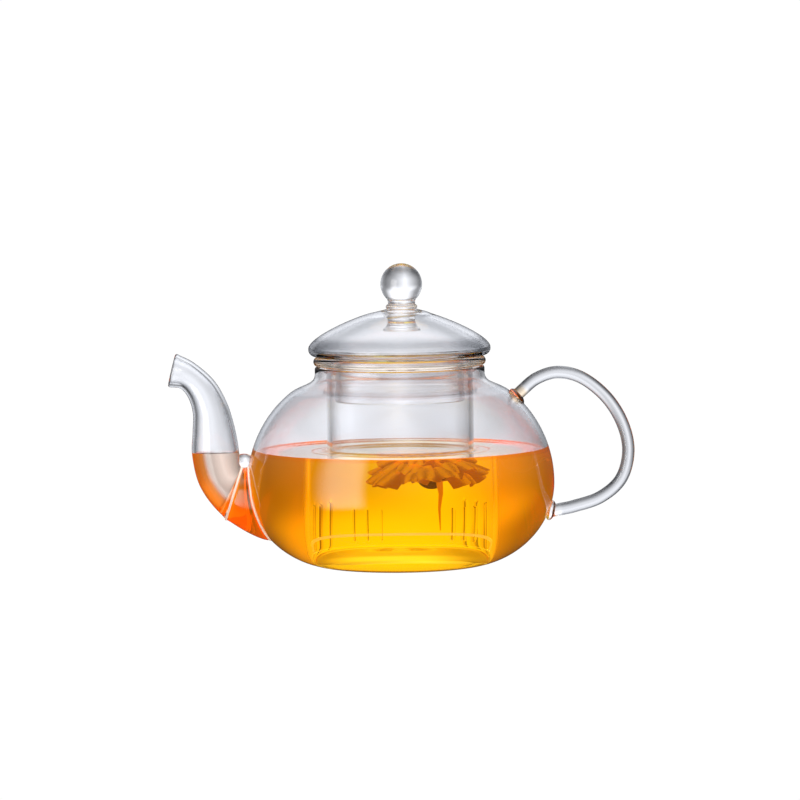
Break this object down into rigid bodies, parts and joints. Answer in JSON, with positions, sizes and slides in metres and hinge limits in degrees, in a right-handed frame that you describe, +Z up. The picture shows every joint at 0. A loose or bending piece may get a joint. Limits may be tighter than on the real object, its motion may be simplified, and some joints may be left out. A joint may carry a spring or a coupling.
{
  "type": "teapot",
  "caption": "Clear glass teapot with a round bowl, swan-neck spout, ear handle, lift-out slotted infuser and domed lid with a ball knob.",
  "frame": {"origin": "centre of the bowl's flat foot, on the surface that the pot stands on", "axes": "+Z up along the bowl's axis; -X towards the spout and +X towards the handle"},
  "size_m": [0.2117, 0.14, 0.1381],
  "materials": {
    "pot_glass": "clear flame-polished borosilicate glass",
    "infuser_glass": "clear drawn borosilicate tube, flame-polished",
    "lid_glass": "clear blown borosilicate glass, flame-polished"
  },
  "bodies": {
    "pot": {"pot_bowl": "pot_glass", "spout_cone": "pot_glass", "spout_tube": "pot_glass", "spout_bridge": "pot_glass", "handle_tube": "pot_glass", "handle_upper_weld": "pot_glass", "handle_lower_weld": "pot_glass"},
    "infuser": {"infuser_flange": "infuser_glass", "infuser_tube": "infuser_glass", "infuser_floor": "infuser_glass"},
    "lid": {"lid_dome": "lid_glass", "lid_skirt": "lid_glass", "knob_collar": "lid_glass", "lid_knob": "lid_glass", "knob_stub": "lid_glass"}
  },
  "joints": [
    {"name": "infuser_lift", "type": "slide", "parent": "pot", "child": "infuser", "axis": [0, 0, 1], "range_m": [0, 0.09]},
    {"name": "lid_lift", "type": "slide", "parent": "infuser", "child": "lid", "axis": [0, 0, 1], "range_m": [0, 0.04]}
  ]
}
